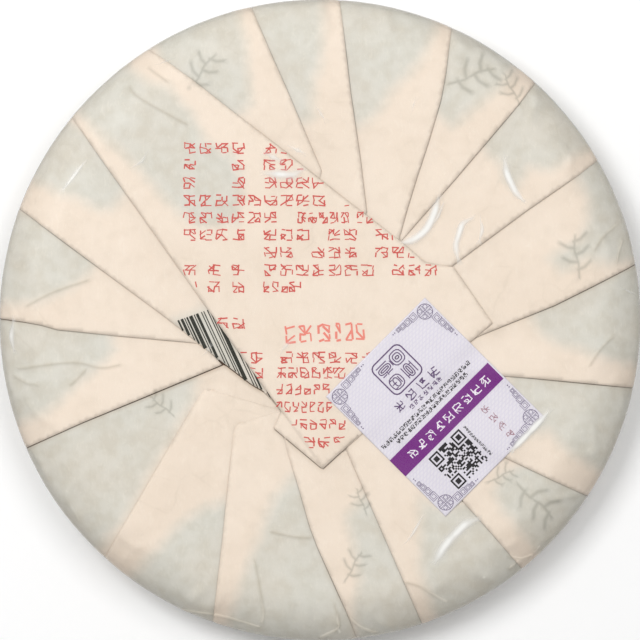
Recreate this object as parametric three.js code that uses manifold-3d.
// Pu erh tea cake: a pressed disc of tea shut in a pleated cotton-paper wrapper and clear film,
// with a paper label on its back. Millimetres, +Z up.
// The pleated back faces up, and the middle of the front rests on Z = 0.

import * as THREE from 'three';
import { mergeVertices } from 'three/addons/utils/BufferGeometryUtils.js';
import Module from 'manifold-3d';

const wasm = await Module();
wasm.setup();

// Cake
const CAKE_RADIUS = 100;
const CAKE_HEIGHT = 23.5; // up to the last flap of the wrapper
const CAKE_SIDES = 72;
const RIM_HEIGHT = 14; // the widest line, above the floor
const REST_RADIUS = 45; // flat spot in the middle of the domed front
const CREST_RADIUS = 84; // highest ring of the back
const BACK_HOLLOW = 1.6; // sink of the back's middle below that ring
const FRONT_POWER = 2.1; // squareness of the two rounded edges, where 2 is an ellipse
const BACK_POWER = 2.4;
const FRONT_STEPS = 7;
const BACK_STEPS = 6;
const BACK_RINGS = [63, 42, 21, 0];

// Pleats of the paper on the back
const PAPER_LIFT = 0.12; // every sheet stands at least this far above the smooth back
const PLEAT_STEP = 0.5; // a folded edge rises this much more above the sheet beside it
const FLAP_LIFT = 0.9; // the last flap lies on all the others
const CREST_HEIGHT = CAKE_HEIGHT - FLAP_LIFT;
const SHEET_RADIUS = 96; // the pleats die away between here and PLEAT_FADE farther in
const PLEAT_FADE = 12;
const SHEET_TUCK = 1.5; // length of a sheet hidden under the folded edge beside it
const SHEET_FOOT = 17; // sheets are cut off at this height, inside the cake
const ARC_STEP = 6; // degrees between the corners of a sheet's outer edge

// Folded edges, clockwise from the left edge of the last flap. Each is a straight line from the rim,
// at an angle in degrees from +X, to the tip where the next sheets or the label cover it.
const FOLDS = [
  { rim: 141.2, tip: [0.8, -46] },
  { rim: 122.3, tip: [41.4, 16.5] },
  { rim: 101.7, tip: [0.2, 46.2] },
  { rim: 86.5, tip: [14.5, 33.7] },
  { rim: 65.8, tip: [24.5, 25] },
  { rim: 48, tip: [25.2, 24.6] },
  { rim: 30, tip: [41.4, 16.8] },
  { rim: 9.6, tip: [36.9, -12.4] },
  { rim: -12.3, tip: [45.4, -16.5] },
  { rim: -33.6, tip: [47.5, -38] },
  { rim: -51.2, tip: [28.6, -37.8] },
  { rim: -71.5, tip: [7, -37.6] },
  { rim: -83.5, tip: [-11.5, -35] },
  { rim: -109.5, tip: [-26.7, -32.6] },
  { rim: -132.2, tip: [-36.1, -21] },
  { rim: -156.2, tip: [-30.4, -14.1] },
  { rim: -179.6, tip: [-38.6, -7.1] },
  { rim: -200.4, tip: [-30.2, -13.4] },
];
const AFTER_FLAP = 1; // these two sheets pass under the flap's own folds
const BEFORE_FLAP = FOLDS.length - 1;
const HUB = [-12, -28]; // under the last flap, where the other sheets meet
const POINTED_SHEETS = [15, 16]; // these end at the fold beside them, short of the hub
const LOWEST_SHEET = 14; // counted clockwise, as the folds are
const FLAP_CORNER = [53.6, -1]; // square corner of the wrapper's sheet

// Label
const LABEL_LENGTH = 52.6;
const LABEL_WIDTH = 43.6;
const LABEL_THICKNESS = 0.4;
const LABEL_GAP = 0.3; // clear of the flap below
const LABEL_CENTRE = [35.8, -27];
const LABEL_TURN = -45; // degrees from +X to its long side
const LABEL_CELLS = [8, 7];

const radians = THREE.MathUtils.degToRad;
const clamp = THREE.MathUtils.clamp;

const paper = new THREE.MeshStandardMaterial({ color: 0xeee0cf, roughness: 0.55, metalness: 0 });
const labelPaper = new THREE.MeshStandardMaterial({ color: 0xe3def0, roughness: 0.5, metalness: 0 });

// Corner of a rounded edge: share 0 lies on the flat face, share 1 on the widest line.
function edgePoint(flatRadius, flatHeight, power, share) {
  const angle = (share * Math.PI) / 2;
  const out = Math.sin(angle) ** (2 / power);
  const along = Math.cos(angle) ** (2 / power);
  return new THREE.Vector2(
    flatRadius + (CAKE_RADIUS - flatRadius) * out,
    RIM_HEIGHT + (flatHeight - RIM_HEIGHT) * along,
  );
}

// Height of the smooth back inside its crest.
function backHeight(radius) {
  const across = Math.min(radius / CREST_RADIUS, 1);
  return CREST_HEIGHT - BACK_HOLLOW * Math.cos((across * Math.PI) / 2) ** 2;
}

function cakeProfile() {
  const profile = [new THREE.Vector2(0, 0)];
  for (let i = 0; i <= FRONT_STEPS; i++) {
    profile.push(edgePoint(REST_RADIUS, 0, FRONT_POWER, i / FRONT_STEPS));
  }
  for (let i = BACK_STEPS - 1; i >= 0; i--) {
    profile.push(edgePoint(CREST_RADIUS, CREST_HEIGHT, BACK_POWER, i / BACK_STEPS));
  }
  for (const radius of BACK_RINGS) {
    profile.push(new THREE.Vector2(radius, backHeight(radius)));
  }
  return profile;
}

// The lathe's axis is turned from Y to Z.
function cakeGeometry() {
  const geometry = new THREE.LatheGeometry(cakeProfile(), CAKE_SIDES);
  geometry.rotateX(Math.PI / 2);
  return weld(geometry);
}

function weld(geometry) {
  geometry.deleteAttribute('normal');
  geometry.deleteAttribute('uv');
  return mergeVertices(geometry, 1e-4);
}

function toManifold(geometry) {
  return new wasm.Manifold(
    new wasm.Mesh({
      numProp: 3,
      vertProperties: new Float32Array(geometry.attributes.position.array),
      triVerts: new Uint32Array(geometry.index.array),
    }),
  );
}

function toGeometry(solid) {
  const { vertProperties, triVerts } = solid.getMesh();
  const geometry = new THREE.BufferGeometry();
  geometry.setAttribute('position', new THREE.BufferAttribute(vertProperties, 3));
  geometry.setIndex(new THREE.BufferAttribute(triVerts, 1));
  geometry.computeVertexNormals();
  return geometry;
}

function onRim(degrees, radius = CAKE_RADIUS) {
  return [radius * Math.cos(radians(degrees)), radius * Math.sin(radians(degrees))];
}

function rimPoint(fold) {
  const angle = radians(fold.rim);
  return new THREE.Vector2(Math.cos(angle), Math.sin(angle)).multiplyScalar(CAKE_RADIUS);
}

// A fold's line as its rim point, its tip and its unit direction inwards.
function foldLine(fold) {
  const rim = rimPoint(fold);
  const tip = new THREE.Vector2(...fold.tip);
  return { rim, tip, inwards: tip.clone().sub(rim).normalize() };
}

// Distance of a point from a fold's line, positive on its clockwise side.
function clockwiseOf(fold, point) {
  const { rim, inwards } = foldLine(fold);
  return inwards.cross(point.clone().sub(rim));
}

// The sheets clockwise of the flap are folded at their clockwise edge, and the others at the far edge.
function foldedAtFirst(k) {
  return k > LOWEST_SHEET || k === 0;
}

function foldedAtSecond(k) {
  return k < LOWEST_SHEET;
}

// Lift of sheet k above the smooth back. It rises from the edge that lies under a neighbour
// to the folded edge that shows.
function sheetLift(k, point) {
  if (k === 0) return FLAP_LIFT;
  if (k === LOWEST_SHEET) return PAPER_LIFT;
  const fromFirst = clockwiseOf(FOLDS[k], point);
  const fromSecond = -clockwiseOf(FOLDS[(k + 1) % FOLDS.length], point);
  const across = clamp(fromFirst / Math.max(fromFirst + fromSecond, 1), 0, 1);
  return PAPER_LIFT + PLEAT_STEP * (foldedAtSecond(k) ? across : 1 - across);
}

// The whole cake with its back raised to the level of sheet k.
function liftedCake(k) {
  const geometry = cakeGeometry();
  const position = geometry.attributes.position;
  for (let i = 0; i < position.count; i++) {
    const point = new THREE.Vector2(position.getX(i), position.getY(i));
    const inside = clamp((SHEET_RADIUS - point.length()) / PLEAT_FADE, 0, 1);
    const lift = PAPER_LIFT + (sheetLift(k, point) - PAPER_LIFT) * inside;
    if (position.getZ(i) > SHEET_FOOT) position.setZ(i, position.getZ(i) + lift);
  }
  return toManifold(geometry);
}

// Ends of a fold's line inside the sheets' outer edge, moved sideways by tuck.
function foldEnds(fold, tuck) {
  const { rim, tip, inwards } = foldLine(fold);
  const reach = rim.dot(inwards);
  const cut = -reach - Math.sqrt(reach ** 2 - CAKE_RADIUS ** 2 + SHEET_RADIUS ** 2);
  const sideways = new THREE.Vector2(-inwards.y, inwards.x).multiplyScalar(tuck);
  return {
    outer: rim.clone().addScaledVector(inwards, cut).add(sideways),
    tip: tip.clone().add(sideways),
  };
}

// Plan of sheet k: its two folds, the arc between them and its covered inner end.
function sheetPlan(k) {
  const first = foldEnds(FOLDS[k], foldedAtFirst(k) ? 0 : -SHEET_TUCK);
  const second = foldEnds(FOLDS[(k + 1) % FOLDS.length], foldedAtSecond(k) ? 0 : SHEET_TUCK);
  const start = first.outer.angle();
  const turn = (start - second.outer.angle() + 2 * Math.PI) % (2 * Math.PI);
  const steps = Math.ceil(turn / radians(ARC_STEP));
  const points = [first.outer];
  for (let i = 1; i < steps; i++) {
    const angle = start - (turn * i) / steps;
    points.push(new THREE.Vector2(Math.cos(angle), Math.sin(angle)).multiplyScalar(SHEET_RADIUS));
  }
  points.push(second.outer);
  if (k !== BEFORE_FLAP) points.push(second.tip);
  if (k === 0) points.push(new THREE.Vector2(...FLAP_CORNER));
  else if (!POINTED_SHEETS.includes(k)) points.push(new THREE.Vector2(...HUB));
  if (k !== AFTER_FLAP) points.push(first.tip);
  return new THREE.Shape(points);
}

function sheet(k) {
  const plan = new THREE.ExtrudeGeometry(sheetPlan(k), { depth: CAKE_HEIGHT, bevelEnabled: false });
  plan.translate(0, 0, SHEET_FOOT);
  return liftedCake(k).intersect(toManifold(weld(plan)));
}

function wrappedCake() {
  let solid = toManifold(cakeGeometry());
  for (let k = FOLDS.length - 1; k >= 0; k--) {
    solid = solid.add(sheet(k));
  }
  const mesh = new THREE.Mesh(toGeometry(solid.simplify(0.004)), paper);
  mesh.name = 'wrapped_cake';
  return mesh;
}

// A thin sheet that follows the back: both faces of a box bent to the same height.
function label() {
  const geometry = weld(
    new THREE.BoxGeometry(LABEL_LENGTH, LABEL_WIDTH, LABEL_THICKNESS, ...LABEL_CELLS, 1),
  );
  geometry.rotateZ(radians(LABEL_TURN));
  geometry.translate(...LABEL_CENTRE, 0);
  const position = geometry.attributes.position;
  for (let i = 0; i < position.count; i++) {
    const below = backHeight(Math.hypot(position.getX(i), position.getY(i)));
    const base = below + FLAP_LIFT + LABEL_GAP + LABEL_THICKNESS / 2;
    position.setZ(i, position.getZ(i) + base);
  }
  geometry.computeVertexNormals();
  const mesh = new THREE.Mesh(geometry, labelPaper);
  mesh.name = 'label';
  return mesh;
}

const cake = new THREE.Group();
cake.add(wrappedCake(), label());

export default cake;
